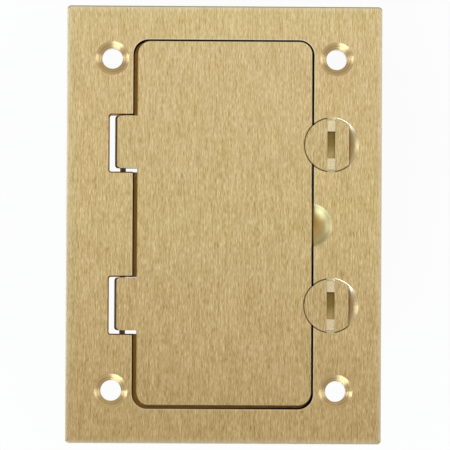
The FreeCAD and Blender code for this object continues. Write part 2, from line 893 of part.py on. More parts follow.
device_screws = new_body("device_screws")
add_discs(
    device_screws, DEVICE_SCREWS, "housing_bottom", "device_screw_radius",
    "strap_top - housing_bottom",
)
add_discs(
    device_screws, DEVICE_SCREWS, "housing_bottom - device_screw_head_height",
    "device_screw_head_radius", "device_screw_head_height",
)
for x, y in DEVICE_SCREWS:
    cut_box(
        device_screws, x, y, "housing_bottom - device_screw_head_height",
        "driver_slot_width", "2 * device_screw_head_radius", "driver_slot_depth",
        upward=True,
    )

# ---- contacts: a rail with two pairs of leaves, a bridge and a terminal plate
for name, side in (("hot_contact", 1), ("neutral_contact", -1)):
    contact = new_body(name)
    add_box(
        contact, f"{side} * blade_x", "blade_rise", "cavity_floor", "contact_outer",
        "rail_length", "contact_stock",
    )
    add_box(
        contact, f"{side} * (blade_x + terminal_face + contact_stock) / 2", "0",
        "cavity_floor", "terminal_face + contact_stock - blade_x", "bridge_width",
        "contact_stock",
    )
    add_box(
        contact, f"{side} * (terminal_face + contact_stock / 2)", "0", "cavity_floor",
        "contact_stock", "terminal_length", "terminal_height",
    )
    for y in UPPER_AND_LOWER_BLADES:
        for leaf in (-1, 1):
            middle = f"{side} * blade_x + {leaf} * (blade_thickness + contact_stock) / 2"
            add_box(
                contact, middle, y, "cavity_floor", "contact_stock", "contact_length",
                "contact_height",
            )
    threads = new_sketch(contact, f"{side} * terminal_face", "YZ_Plane")
    for end in (-1, 1):
        draw_circle(
            threads, f"{end} * terminal_screw_spacing / 2", "terminal_z",
            "terminal_screw_radius",
        )
    pocket(contact, threads, "contact_stock", upward=side > 0)

ground = new_body("ground_contact")
add_box(
    ground, "0", "(upper_ground_y - ground_wall - contact_stock) / 2", "cavity_floor",
    "ground_strip_width", "upper_ground_y + ground_wall + contact_stock", "contact_stock",
)
add_discs(ground, GROUND_HOLES, "cavity_floor", "sleeve_radius", "contact_height")
cut_holes(
    ground, GROUND_HOLES, "cavity_floor + contact_height", "sleeve_bore",
    "contact_height - contact_stock",
)
add_box(
    ground, "0", "-(ground_wall + contact_stock / 2)", "cavity_floor",
    "ground_tab_width", "contact_stock", "ground_tab_height",
)
threads = new_sketch(ground, "ground_wall", "XZ_Plane")
draw_circle(threads, "0", "terminal_z", "terminal_screw_radius")
pocket(ground, threads, "contact_stock", upward=True)

# ---- terminal screws and wire clamps, drawn on the +X side and turned to their own
PAIR = [f"{end} * terminal_screw_spacing / 2" for end in (-1, 1)]


def facing(body, turn):
    body.Placement = FreeCAD.Placement(Vector(), FreeCAD.Rotation(Vector(0, 0, 1), turn))


def terminal_screws(name, places, wall, seat, turn):
    """Screws along X, with their heads on the seat and their threads past the wall."""
    screws = new_body(name)
    facing(screws, turn)
    start = f"{wall} - terminal_screw_grip"
    spots = [(y, "terminal_z") for y in places]
    add_discs(
        screws, spots, start, "terminal_screw_radius", f"{seat} - ({start})", "YZ_Plane"
    )
    add_discs(
        screws, spots, seat, "terminal_head_radius", "terminal_head_height", "YZ_Plane"
    )
    for y in places:
        slot = new_sketch(screws, f"{seat} + terminal_head_height", "YZ_Plane")
        draw_box(slot, y, "terminal_z", "driver_slot_width", "2 * terminal_head_radius")
        pocket(screws, slot, "driver_slot_depth")


seat = "terminal_face + contact_stock"
for name, turn in (("hot", 0), ("neutral", 180)):
    terminal_screws(
        f"{name}_terminal_screws", PAIR, "terminal_face", f"{seat} + clamp_thickness", turn
    )
    clamps = new_body(f"{name}_wire_clamps")
    facing(clamps, turn)
    sketch = new_sketch(clamps, seat, "YZ_Plane")
    for y in PAIR:
        draw_box(sketch, y, "terminal_z", "clamp_size", "clamp_size")
        draw_circle(sketch, y, "terminal_z", "terminal_screw_radius")
    pad(clamps, sketch, "clamp_thickness")
terminal_screws(
    "ground_terminal_screw", ["0"], "ground_wall", "ground_wall + contact_stock", -90
)

# ---- checks and export
for thing in doc.Objects:
    if "Invalid" in thing.State or "Error" in thing.State:
        raise RuntimeError(thing.Name + " did not recompute")
os.makedirs("parts", exist_ok=True)
for piece in pieces:
    shape = piece.Shape
    if shape.isNull() or not shape.isValid() or not shape.Solids:
        raise RuntimeError(piece.Label + " is not a valid solid")
    shape.exportStep(f"parts/{piece.Label}.step")
    print(piece.Label, len(shape.Solids), round(shape.Volume, 2))
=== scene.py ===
import bmesh
import bpy
import json
import math
import numpy as np
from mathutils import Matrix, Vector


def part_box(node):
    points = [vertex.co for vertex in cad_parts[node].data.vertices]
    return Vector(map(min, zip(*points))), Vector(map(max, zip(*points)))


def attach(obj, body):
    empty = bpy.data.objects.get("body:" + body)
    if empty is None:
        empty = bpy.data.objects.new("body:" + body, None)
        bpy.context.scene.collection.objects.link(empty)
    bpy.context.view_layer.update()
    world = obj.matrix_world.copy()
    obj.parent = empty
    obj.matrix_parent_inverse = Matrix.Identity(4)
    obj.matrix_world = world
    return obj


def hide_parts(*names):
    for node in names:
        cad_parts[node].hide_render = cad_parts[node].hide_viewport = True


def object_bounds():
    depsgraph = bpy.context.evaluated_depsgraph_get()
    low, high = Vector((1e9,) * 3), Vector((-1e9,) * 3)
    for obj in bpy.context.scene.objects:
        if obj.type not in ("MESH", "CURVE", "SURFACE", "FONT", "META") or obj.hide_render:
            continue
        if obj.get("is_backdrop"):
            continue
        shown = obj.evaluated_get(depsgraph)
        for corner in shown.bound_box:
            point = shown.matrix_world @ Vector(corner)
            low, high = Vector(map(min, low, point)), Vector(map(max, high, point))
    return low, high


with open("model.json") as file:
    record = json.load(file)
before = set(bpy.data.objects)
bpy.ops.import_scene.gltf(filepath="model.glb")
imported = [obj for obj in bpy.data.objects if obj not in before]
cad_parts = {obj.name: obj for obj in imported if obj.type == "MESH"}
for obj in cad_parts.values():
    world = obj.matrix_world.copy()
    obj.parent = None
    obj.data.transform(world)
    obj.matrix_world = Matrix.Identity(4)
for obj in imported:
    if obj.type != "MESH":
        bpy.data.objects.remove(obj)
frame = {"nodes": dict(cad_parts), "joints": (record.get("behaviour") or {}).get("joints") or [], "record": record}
cadLow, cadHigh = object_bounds()
print("frame loaded")

mm = 0.001
near = 0.05                 # mm within which a face lies on a surface
upright = 0.99              # least z of the normal of a level face
white = (1, 1, 1)
midSpan = (0.3, 0.7)        # most values of a noise lie in this
wideSpan = (0.25, 0.75)     # and nearly all in this


# places that the finishes and pieces need, read from the frame, in mm

def boxOf(node):
    return [np.array(corner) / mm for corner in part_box(node)]


def cornersOf(node):
    mesh = frame["nodes"][node].data
    points = np.empty(len(mesh.vertices) * 3)
    mesh.vertices.foreach_get("co", points)
    return points.reshape(-1, 3) / mm


def mountOf(name):
    return next(mount for mount in frame["record"]["mounts"] if mount["name"] == name)


def jointPlace(name):
    joint = next(joint for joint in frame["joints"] if joint["name"] == name)
    return np.array(joint["pos_m"]) / mm


def outlineOf(low, high, corner):
    # a rectangle with round corners in plan
    low, high = low[:2], high[:2]
    return {
        "low": low, "high": high, "corner": corner,
        "middle": (low + high) / 2, "half": (high - low) / 2,
    }


low, high = boxOf("cover_plate")
plate = {
    **outlineOf(low, high, 1.0),
    "underside": low[2],
    "top": high[2],
    "web": boxOf("lid_gasket")[0][2],           # upper side of the web under the flap
}
onWeb = cornersOf("cover_plate")
onWeb = onWeb[np.isclose(onWeb[:, 2], plate["web"], atol=0.01)]
pocket = outlineOf(onWeb.min(axis=0), onWeb.max(axis=0), 4.0)
lid = outlineOf(*boxOf("lid"), 3.4)
fixing = {
    "x": mountOf("fixing_holes")["dims"]["spacing_x_mm"] / 2,
    "y": mountOf("fixing_holes")["dims"]["spacing_y_mm"] / 2,
    "radius": 4.42,                             # of the countersink at the top
}
latch = {
    "x": jointPlace("upper_latch_turn")[0],
    "y": jointPlace("upper_latch_turn")[1],
    "seatRadius": 7.25,                         # at the top
    "flat": boxOf("latch_upper")[1][0],
    "slotHalf": 1.025,                          # half the coin slot's width
    "shallow": 0.5,                             # the slot's ends are less deep than this
    "wellRadius": 3.7,                          # the slot's deep middle lies in this
    "wellDepth": 1.6,                           # and is less deep than this
}
scoop = {
    "x": pocket["high"][0] - 0.9,
    "y": 0.0,
    "radius": 5.7,
    "reach": 1.6,                               # how far it goes in past the pocket's outline
}


# small tools for materials

def newMaterial(name):
    material = bpy.data.materials.new(name)
    material.use_nodes = True
    tree = material.node_tree
    return material, tree, tree.nodes["Principled BSDF"]


def addNode(tree, kind, **settings):
    node = tree.nodes.new("ShaderNode" + kind)
    for key, value in settings.items():
        setattr(node, key, value)
    return node


def feed(tree, target, value):
    # a socket is linked, anything else is set as the socket's own value
    if isinstance(value, bpy.types.NodeSocket):
        tree.links.new(value, target)
    else:
        target.default_value = value


def doMath(tree, operation, *values):
    node = addNode(tree, "Math", operation=operation)
    for target, value in zip(node.inputs, values):
        feed(tree, target, value)
    return node.outputs[0]


def inPlan(tree, x, y):
    # the flat vector (x, y) and its length
    flat = addNode(tree, "CombineXYZ")
    feed(tree, flat.inputs[0], x)
    feed(tree, flat.inputs[1], y)
    length = addNode(tree, "VectorMath", operation="LENGTH")
    feed(tree, length.inputs[0], flat.outputs[0])
    return flat.outputs[0], length.outputs["Value"]


def objectPlace(tree, scale=(1, 1, 1), move=(0, 0, 0)):
    mapping = addNode(tree, "Mapping")
    feed(tree, mapping.inputs["Vector"], addNode(tree, "TexCoord").outputs["Object"])
    mapping.inputs["Scale"].default_value = scale
    mapping.inputs["Location"].default_value = move
    return mapping.outputs[0]


def splitPlace(tree):
    # the object's own x, y and z, in mm
    split = addNode(tree, "SeparateXYZ")
    feed(tree, split.inputs[0], objectPlace(tree, (1 / mm,) * 3))
    return split.outputs


def noise(tree, vector, detail=3.0, rough=0.5):
    node = addNode(tree, "TexNoise")
    feed(tree, node.inputs["Vector"], vector)
    node.inputs["Scale"].default_value = 1
    node.inputs["Detail"].default_value = detail
    node.inputs["Roughness"].default_value = rough
    return node.outputs[0]


def ringNoise(tree, distance, width):
    node = addNode(tree, "TexNoise", noise_dimensions="1D")
    feed(tree, node.inputs["W"], distance)
    node.inputs["Scale"].default_value = 1 / width
    node.inputs["Detail"].default_value = 3
    return node.outputs[0]


def ramp(tree, value, stops):
    node = addNode(tree, "ValToRGB")
    elements = node.color_ramp.elements
    while len(elements) < len(stops):
        elements.new(0.5)
    for element, (position, colour) in zip(elements, stops):
        element.position = position
        element.color = (*colour, 1)
    feed(tree, node.inputs[0], value)
    return node.outputs[0]


def remap(tree, value, fromLow, fromHigh, low, high):
    node = addNode(tree, "MapRange")
    feed(tree, node.inputs["Value"], value)
    for target, number in zip(list(node.inputs)[1:5], (fromLow, fromHigh, low, high)):
        target.default_value = number
    return node.outputs[0]


def mixColours(tree, share, a, b, kind="MIX"):
    node = addNode(tree, "Mix", data_type="RGBA", blend_type=kind)
    feed(tree, node.inputs["Factor"], share)
    for target, colour in ((node.inputs["A"], a), (node.inputs["B"], b)):
        feed(tree, target, colour if isinstance(colour, bpy.types.NodeSocket) else (*colour, 1))
    return node.outputs["Result"]


def shaded(tree, colour, shade):
    return mixColours(tree, 1.0, colour, shade, "MULTIPLY")


def bump(tree, shader, height, depth, strength=0.5):
    node = addNode(tree, "Bump")
    node.inputs["Strength"].default_value = strength
    node.inputs["Distance"].default_value = depth
    feed(tree, node.inputs["Height"], height)
    feed(tree, shader.inputs["Normal"], node.outputs[0])


def varyGloss(tree, shader, pattern, span, rough, spread):
    # roughness that follows a pattern, over the span of its values
    value = remap(tree, pattern, *span, rough - spread, rough + spread)
    feed(tree, shader.inputs["Roughness"], value)


def stretchGloss(tree, shader, vector, amount):
    # gloss is drawn out along the vector, which is across the tool marks
    turn = addNode(tree, "VectorTransform", vector_type="VECTOR")
    turn.convert_from, turn.convert_to = "OBJECT", "WORLD"
    feed(tree, turn.inputs[0], vector)
    feed(tree, shader.inputs["Tangent"], turn.outputs[0])
    shader.inputs["Anisotropic"].default_value = amount


def tint(colour, factor):
    return tuple(min(1.0, part * factor) for part in colour)


def fromMiddle(tree, x, y, mirrorX, mirrorY):
    # the way from the nearest of the mirrored middles, and its length, in mm
    place = splitPlace(tree)
    ways = []
    for part, middle, mirrored in ((place[0], x, mirrorX), (place[1], y, mirrorY)):
        signed = doMath(tree, "MULTIPLY", doMath(tree, "SIGN", part), middle) if mirrored else middle
        ways.append(doMath(tree, "SUBTRACT", part, signed))
    return ways, *inPlan(tree, *ways)


def beyond(tree, outline):
    # how far a point is outside the rectangle with round corners in plan, in mm, and less
    # than 0 inside it: the way out of the corners' own rectangle, less their radius
    place = splitPlace(tree)
    ways = []
    for k in range(2):
        aside = doMath(tree, "SUBTRACT", place[k], outline["middle"][k])
        straight = outline["half"][k] - outline["corner"]
        ways.append(doMath(tree, "SUBTRACT", doMath(tree, "ABSOLUTE", aside), straight))
    _, length = inPlan(tree, *[doMath(tree, "MAXIMUM", way, 0) for way in ways])
    inside = doMath(tree, "MINIMUM", doMath(tree, "MAXIMUM", *ways), 0)
    return doMath(tree, "SUBTRACT", doMath(tree, "ADD", length, inside), outline["corner"])


# brass brushed along the cover

brushedBrass = {
    "colour": (0.655, 0.495, 0.232),
    "streak": (0.275, 0.265, 0.195),    # how far the streaks move each part of the colour
    "width": 0.13 * mm,
    "length": 1.5 * mm,
    "drawn": (0.7, 0.3),                # scale of the long streaks beside that of the fine ones
    "drawnShare": 0.35,                 # and their share of the pattern
    "clouds": (260, 110, 260),          # clouds to a metre along X, Y and Z
    "cloudShade": (0.95, 0.945, 0.935),
    "paintedShadeUpwards": [                         # painted shade, from the lower end of the cover (darker) to the upper end (cooler)
        (0.0, (0.91, 0.85, 0.79)), (0.25, (0.98, 0.94, 0.93)), (0.5, white),
        (0.85, (0.965, 0.955, 1)), (1.0, (0.95, 0.965, 1)),
    ],
    "paleWearAndHighlight": (0.76, 0.71, 0.55),       # where an edge is worn pale; at the pocket and the flap also a painted highlight
    "roughness": 0.36,
    "roughSpread": 0.06,
    "drawnOut": 0.5,                    # how much the gloss is stretched across the streaks
    "depth": 0.010 * mm,
}


def brushed(name, look, factor, seed, edges=()):
    # fine streaks along Y, some far longer than others, over faint clouds, with painted shade along Y, and pale
    # along each edge: (outline, mm past it that is plain, mm past it that is palest, share)
    material, tree, shader = newMaterial(name)
    colour = tint(look["colour"], factor)
    across, along = 1 / look["width"], 1 / look["length"]
    wider, longer = across * look["drawn"][0], along * look["drawn"][1]
    fine = noise(tree, objectPlace(tree, (across, along, across), (seed, 0, 0)), 2, 0.6)
    drawn = noise(tree, objectPlace(tree, (wider, longer, wider), (0, seed, 0)), 1)
    rest = doMath(tree, "MULTIPLY", fine, 1 - look["drawnShare"])
    streaks = doMath(tree, "MULTIPLY_ADD", drawn, look["drawnShare"], rest)
    dark = [max(0.0, part - change) for part, change in zip(colour, look["streak"])]
    light = [min(1.0, part + change) for part, change in zip(colour, look["streak"])]
    grain = ramp(tree, streaks, [(midSpan[0], dark), (0.5, colour), (midSpan[1], light)])
    clouds = noise(tree, objectPlace(tree, look["clouds"], (0, seed, 0)), 2)
    clouded = ramp(tree, clouds, list(zip(midSpan, (look["cloudShade"], white))))
    face = shaded(tree, grain, clouded)
    # painted shade: darker towards the lower end of the cover, cooler at the upper end
    upwards = remap(tree, splitPlace(tree)[1], -plate["half"][1], plate["half"][1], 0, 1)
    face = shaded(tree, face, ramp(tree, upwards, look["paintedShadeUpwards"]))
    # pale bands along the edges: wear, and painted highlight at the pocket and the flap
    for outline, start, end, share in edges:
        pale = remap(tree, beyond(tree, outline), start, end, 0, share)
        face = mixColours(tree, pale, face, look["paleWearAndHighlight"])
    feed(tree, shader.inputs["Base Color"], face)
    varyGloss(tree, shader, streaks, midSpan, look["roughness"], look["roughSpread"])
    shader.inputs["Metallic"].default_value = 1
    side = addNode(tree, "CombineXYZ")
    side.inputs[0].default_value = 1
    stretchGloss(tree, shader, side.outputs[0], look["drawnOut"])
    bump(tree, shader, streaks, look["depth"])
    return material


# pale bands along the edges: real wear, and at the pocket and the flap also a painted highlight
paleEdgeWearAndHighlight = {
    # plain from, palest from, greatest share
    "rim": (-1.5, 0, 0.42),
    "pocket": (0.45, 0.1, 0.40),
    "lid": (-0.45, -0.05, 0.40),
}
brassPlate = brushed("brassPlate", brushedBrass, 1, 3.1, [
    (plate, *paleEdgeWearAndHighlight["rim"]), (pocket, *paleEdgeWearAndHighlight["pocket"]),
])
brassLid = brushed("brassLid", brushedBrass, 0.985, 11.7, [(lid, *paleEdgeWearAndHighlight["lid"])])
brassHead = brushed("brassHead", brushedBrass, 0.94, 23.9)


# brass turned about a middle: countersinks, seats of the latch heads and finger scoop

polishedBrass = (0.78, 0.64, 0.40)
coneBrass = (0.92, 0.73, 0.405)
coneLook = {
    "middle": (fixing["x"], fixing["y"], True, True),   # and whether x and y are mirrored
    "inner": (2.7, tint(coneBrass, 0.85)),              # radius and colour there, darker as painted shade
    "outer": (4.4, coneBrass),
    "groove": (0.66, 0.57, 0.47),
    "grooveWidth": 0.42,
    "roughness": 0.42,
    "drawnOut": 0.8,
}
seatLook = {
    "middle": (latch["x"], latch["y"], False, True),
    # painted shade: darker near the head, lighter outwards
    "inner": (4.6, (0.70, 0.51, 0.23)),
    "outer": (7.0, (0.79, 0.63, 0.36)),
    "groove": (0.78, 0.75, 0.70),
    "grooveWidth": 0.22,
    "roughness": 0.47,
    "drawnOut": 0.8,
    "paintedRingShade": (0.30, 0.21, 0.10),         # painted shade in the thin ring that shows round the head
    "paintedShadeEnd": (-0.3, 0.5),             # mm past the head's flat over which it fades out
    # painted highlight on the arc at the seat's upper right
    "paleWearAndHighlight": (0.98, 0.90, 0.70),
    "highlightWay": (0.47, 0.88),          # towards the arc of painted highlight, which starts this many mm out
    "highlightFrom": (5.5, 6.3),
    "nickBlur": 0.1,
}
scoopLook = {
    "middle": (scoop["x"], scoop["y"], False, False),
    # painted shade at the inner radius and painted light at the outer, paler than the brass itself
    "inner": (1.5, (0.76, 0.51, 0.14)),
    "outer": (5.0, (1.0, 0.94, 0.56)),
    "groove": (0.92, 0.90, 0.86),
    "grooveWidth": 0.9,
    "roughness": 0.50,
    "drawnOut": 0.0,
}
turning = {"roughSpread": 0.04, "depth": 0.006 * mm}


def seatShade(tree, base, ways):
    # painted shade in the thin ring round the head, with a painted highlight at its upper right, and
    # polished brass where the coin slot runs out over it
    flat = latch["flat"] - latch["x"]
    start, end = seatLook["paintedShadeEnd"]
    pastFlat = remap(tree, ways[0], flat + start, flat + end, 0, 1)
    paintedRingShade = mixColours(tree, pastFlat, seatLook["paintedRingShade"], base)
    part = [doMath(tree, "MULTIPLY", way, share) for way, share in zip(ways, seatLook["highlightWay"])]
    slant = doMath(tree, "ADD", *part)
    inArc = remap(tree, slant, *seatLook["highlightFrom"], 0, 1)
    paleWearAndHighlight = mixColours(tree, inArc, paintedRingShade, seatLook["paleWearAndHighlight"])
    aside, half, blur = doMath(tree, "ABSOLUTE", ways[0]), latch["slotHalf"], seatLook["nickBlur"]
    nick = remap(tree, aside, half - blur, half + blur, 1, 0)
    return mixColours(tree, nick, paleWearAndHighlight, polishedBrass)


def turned(name, look, addShade=None):
    # rings about the middle, with the colour changing from the inner radius to the outer as painted shade and
    # light
    material, tree, shader = newMaterial(name)
    ways, flat, distance = fromMiddle(tree, *look["middle"])
    (inner, innerColour), (outer, outerColour) = look["inner"], look["outer"]
    rings = ringNoise(tree, distance, look["grooveWidth"])
    base = mixColours(tree, remap(tree, distance, inner, outer, 0, 1), innerColour, outerColour)
    if addShade:
        base = addShade(tree, base, ways)
    marks = ramp(tree, rings, [(0.34, look["groove"]), (0.60, white)])
    feed(tree, shader.inputs["Base Color"], shaded(tree, base, marks))
    varyGloss(tree, shader, rings, midSpan, look["roughness"], turning["roughSpread"])
    shader.inputs["Metallic"].default_value = 1
    stretchGloss(tree, shader, flat, look["drawnOut"])
    bump(tree, shader, rings, turning["depth"])
    return material


brassCone = turned("brassCone", coneLook)
brassSeat = turned("brassSeat", seatLook, seatShade)
brassScoop = turned("brassScoop", scoopLook)


# plain metals

metals = {
    # colour, roughness, fineness of the grain, depth of the grain in mm
    "brassEdge": ((0.46, 0.38, 0.23), 0.44, 1.0, 0.006),
    # a darker copy of the edge brass: painted shade for the flap's sides in the gap
    "brassSideShaded": ((0.30, 0.20, 0.09), 0.44, 1.0, 0.006),
    "brassUnder": ((0.50, 0.36, 0.16), 0.42, 0.5, 0.006),
    "brassPolished": (polishedBrass, 0.34, 1.0, 0.006),
    # dark steel, darkened further and browned as painted shade where the pins show in the gap
    "steelDark": ((0.075, 0.05, 0.028), 0.42, 1.0, 0.006),
    "steelScrew": ((0.52, 0.52, 0.53), 0.30, 1.0, 0.006),
    "steelSpring": ((0.30, 0.31, 0.34), 0.28, 1.0, 0.006),
    "steelStrap": ((0.58, 0.57, 0.53), 0.36, 0.4, 0.006),
    "contactBrass": ((0.46, 0.30, 0.11), 0.34, 1.0, 0.003),
    "contactSilver": ((0.40, 0.39, 0.37), 0.32, 1.0, 0.003),
    "clampBrass": ((0.62, 0.43, 0.17), 0.36, 1.0, 0.003),
    "clampSilver": ((0.54, 0.53, 0.50), 0.34, 1.0, 0.003),
    "screwBrass": ((0.86, 0.64, 0.30), 0.28, 1.0, 0.003),
    "screwSilver": ((0.74, 0.73, 0.70), 0.27, 1.0, 0.003),
    "screwGreen": ((0.05, 0.26, 0.09), 0.38, 1.0, 0.006),
    # painted shade in the gap round the flap is laid over this colour
    "brassPocket": ((0.50, 0.355, 0.15), 0.46, 1.0, 0.006),
    "brassSlot": ((0.50, 0.36, 0.14), 0.40, 1.0, 0.006),
}
metalWear = {
    "grain": 2600,                  # grains to a metre
    "scratch": (400, 4200, 900),    # scratches to a metre along X, Y and Z
    "contrast": 0.12,
    "dulled": (0.88, 0.88, 0.88),
    "roughSpread": 0.07,
    "painted": 0.6,                 # metallic share under the ground screw's green
}
gapPaintedShade = {
    # painted shade in the gap round the flap, by mm outside the pocket's outline
    "span": (-2.5, 2.5),
    "shift": 0.15,          # mm by which it starts farther in
    "slant": 0.012,         # less of it towards the hinge side, by this for each mm of x
    "lowEnd": 0.11,         # and less below the lower corners, by this for each mm of y
    "shade": [
        (0.10, white), (0.25, (0.98, 0.67, 0.33)), (0.385, (0.82, 0.52, 0.25)),
        (0.43, (0.10, 0.05, 0.025)), (0.50, (0.05, 0.025, 0.015)),
        (0.59, (0.05, 0.025, 0.015)), (0.66, (0.40, 0.23, 0.13)),
    ],
}
slotFloorShade = {
    # painted shade on the well's floor: darker towards the upper end of the cover, by mm from the head's middle
    "span": (-3.5, 3.5),
    "shade": [(0.1, white), (0.5, (0.54, 0.52, 0.38)), (0.95, (0.45, 0.38, 0.28))],
}


def worn(name, metallic=1.0, addShade=None):
    # fine cloudy grain with a few longer scratches
    colour, rough, fineness, depth = metals[name]
    contrast = metalWear["contrast"]
    material, tree, shader = newMaterial(name)
    grain = noise(tree, objectPlace(tree, (metalWear["grain"] * fineness,) * 3), 4, 0.6)
    stretch = [part * fineness for part in metalWear["scratch"]]
    scratches = noise(tree, objectPlace(tree, stretch), 2)
    darkAndLight = tint(colour, 1 - contrast), tint(colour, 1 + contrast)
    colours = ramp(tree, grain, list(zip(midSpan, darkAndLight)))
    if addShade:
        shade = addShade(tree)
    else:
        shade = ramp(tree, scratches, [(0.35, metalWear["dulled"]), (0.6, white)])
    feed(tree, shader.inputs["Base Color"], shaded(tree, colours, shade))
    shader.inputs["Metallic"].default_value = metallic
    varyGloss(tree, shader, scratches, wideSpan, rough, metalWear["roughSpread"])
    bump(tree, shader, grain, depth * mm)
    return material


def pocketShade(tree):
    # painted shade round the flap, picked by the way outside the pocket plus the shift and what x and the lower
    # end take off
    place = splitPlace(tree)
    slant = doMath(tree, "MULTIPLY_ADD", place[0], gapPaintedShade["slant"], gapPaintedShade["shift"])
    aboveEnd = doMath(tree, "SUBTRACT", place[1], pocket["low"][1] + pocket["corner"])
    lowEnd = doMath(tree, "MINIMUM", doMath(tree, "MULTIPLY", aboveEnd, gapPaintedShade["lowEnd"]), 0)
    outside = doMath(tree, "ADD", doMath(tree, "ADD", beyond(tree, pocket), slant), lowEnd)
    return ramp(tree, remap(tree, outside, *gapPaintedShade["span"], 0, 1), gapPaintedShade["shade"])


def slotShade(tree):
    # painted shade on the floor of the coin slot's well
    upwards = fromMiddle(tree, latch["x"], latch["y"], False, True)[0][1]
    return ramp(tree, remap(tree, upwards, *slotFloorShade["span"], 0, 1), slotFloorShade["shade"])


special = {
    "brassPocket": {"addShade": pocketShade},
    "brassSlot": {"addShade": slotShade},
    "screwGreen": {"metallic": metalWear["painted"]},
}
metal = {name: worn(name, **special.get(name, {})) for name in metals}


# plastics and rubbers

moulds = {
    # colour, roughness, fineness of the skin, its depth in mm, coat
    "facePlastic": ((0.80, 0.77, 0.70), 0.34, 1800, 0.01, 0.15),
    "housingPlastic": ((0.035, 0.035, 0.04), 0.5, 1400, 0.03, 0),
    "gasketRubber": ((0.03, 0.03, 0.032), 0.72, 2600, 0.03, 0),
    "sealRubber": ((0.022, 0.022, 0.024), 0.55, 3000, 0.01, 0),
}
flow = {
    "clouds": (90, 40, 90),     # clouds to a metre along X, Y and Z
    "dark": 0.9,
    "light": 1.05,
    "roughSpread": 0.06,
}


def moulded(name):
    # a moulded skin: fine orange peel, faint flow clouds and duller patches
    colour, rough, fineness, depth, coat = moulds[name]
    material, tree, shader = newMaterial(name)
    peel = noise(tree, objectPlace(tree, (fineness,) * 3))
    clouds = noise(tree, objectPlace(tree, flow["clouds"]))
    stops = [(0.35, tint(colour, flow["dark"])), (0.65, tint(colour, flow["light"]))]
    feed(tree, shader.inputs["Base Color"], ramp(tree, clouds, stops))
    varyGloss(tree, shader, clouds, wideSpan, rough, flow["roughSpread"])
    shader.inputs["Coat Weight"].default_value = coat
    bump(tree, shader, peel, depth * mm)
    return material


mould = {name: moulded(name) for name in moulds}
print("materials made")


# finishes on the CAD nodes

slack = 0.1         # mm past a round patch's edge that still belong to it


def facesOf(node):
    mesh = frame["nodes"][node].data
    centres, normals = np.empty(len(mesh.polygons) * 3), np.empty(len(mesh.polygons) * 3)
    mesh.polygons.foreach_get("center", centres)
    mesh.polygons.foreach_get("normal", normals)
    return centres.reshape(-1, 3) / mm, normals.reshape(-1, 3)


def finish(node, base, *patches):
    # the base material everywhere, and each later one on the faces that it picks
    mesh = frame["nodes"][node].data
    mesh.materials.clear()
    mesh.materials.append(base)
    index = np.zeros(len(mesh.polygons), dtype=np.int32)
    for number, (material, picked) in enumerate(patches, start=1):
        mesh.materials.append(material)
        index[picked] = number
    mesh.polygons.foreach_set("material_index", index)
    mesh.update()


def inReach(centres, place, radius):
    # faces nearer in plan to one of the mirrored middles than the radius
    return np.hypot(np.abs(centres[:, 0]) - place["x"], np.abs(centres[:, 1]) - place["y"]) < radius


centres, normals = facesOf("cover_plate")
top = (normals[:, 2] > upright) & (centres[:, 2] > plate["top"] - near)
under = (normals[:, 2] < -upright) & (centres[:, 2] < plate["underside"] + near)
rim = (np.abs(centres[:, :2]) > plate["half"] - plate["corner"] - near).any(axis=1)
above = centres[:, 2] > plate["web"]
cones = inReach(centres, fixing, fixing["radius"] + slack)
seats = inReach(centres, latch, latch["seatRadius"] + slack) & above & (centres[:, 0] > 0)
dish = (np.hypot(centres[:, 0] - scoop["x"], centres[:, 1]) < scoop["radius"] + slack) & above
dish &= (normals[:, 2] > 0.02) & (centres[:, 0] > pocket["high"][0] - scoop["reach"])
finish(
    "cover_plate", metal["brassPocket"], (metal["brassEdge"], rim), (metal["brassUnder"], under),
    (brassScoop, dish), (brassSeat, seats), (brassCone, cones), (brassPlate, top),
)

centres, normals = facesOf("lid")
top = (normals[:, 2] > upright) & (centres[:, 2] > plate["top"] - near)
under = normals[:, 2] < -upright
seats = inReach(centres, latch, latch["seatRadius"] + slack) & (np.abs(normals[:, 2]) > 0.1)
seats &= centres[:, 0] > 0
finish("lid", metal["brassSideShaded"], (metal["brassUnder"], under), (brassSeat, seats), (brassLid, top))

for name in ("latch_upper", "latch_lower"):
    centres, normals = facesOf(name)
    level = normals[:, 2] > upright
    top = level & (centres[:, 2] > plate["top"] - near)
    shallow = level & ~top & (centres[:, 2] > plate["top"] - latch["shallow"])
    well = inReach(centres, latch, latch["wellRadius"]) & ~top & ~shallow
    well &= centres[:, 2] > plate["top"] - latch["wellDepth"]
    finish(
        name, brassSeat, (metal["brassSlot"], well), (metal["brassPolished"], shallow),
        (brassHead, top),
    )

plain = {
    "steelDark": ["hinge_pin_upper", "hinge_pin_lower"],
    "brassUnder": ["pin_keepers"],
    "steelScrew": ["keeper_screws", "strap_screws", "device_screws"],
    "steelSpring": ["latch_spring_upper", "latch_spring_lower", "latch_clip_upper", "latch_clip_lower"],
    "steelStrap": ["mounting_strap"],
    "contactBrass": ["hot_contact", "ground_contact"],
    "contactSilver": ["neutral_contact"],
    "screwBrass": ["hot_terminal_screws"],
    "screwSilver": ["neutral_terminal_screws"],
    "screwGreen": ["ground_terminal_screw"],
    "clampBrass": ["hot_wire_clamps"],
    "clampSilver": ["neutral_wire_clamps"],
    "sealRubber": ["latch_seal_upper", "latch_seal_lower"],
    "gasketRubber": ["lid_gasket", "floor_gasket"],
    "facePlastic": ["receptacle_face"],
    "housingPlastic": ["receptacle_housing"],
}
looks = {**metal, **mould}
for look, nodes in plain.items():
    for node in nodes:
        finish(node, looks[look])
print("CAD nodes finished")


# pieces worked out here: a section carried round a rectangle with rounded corners

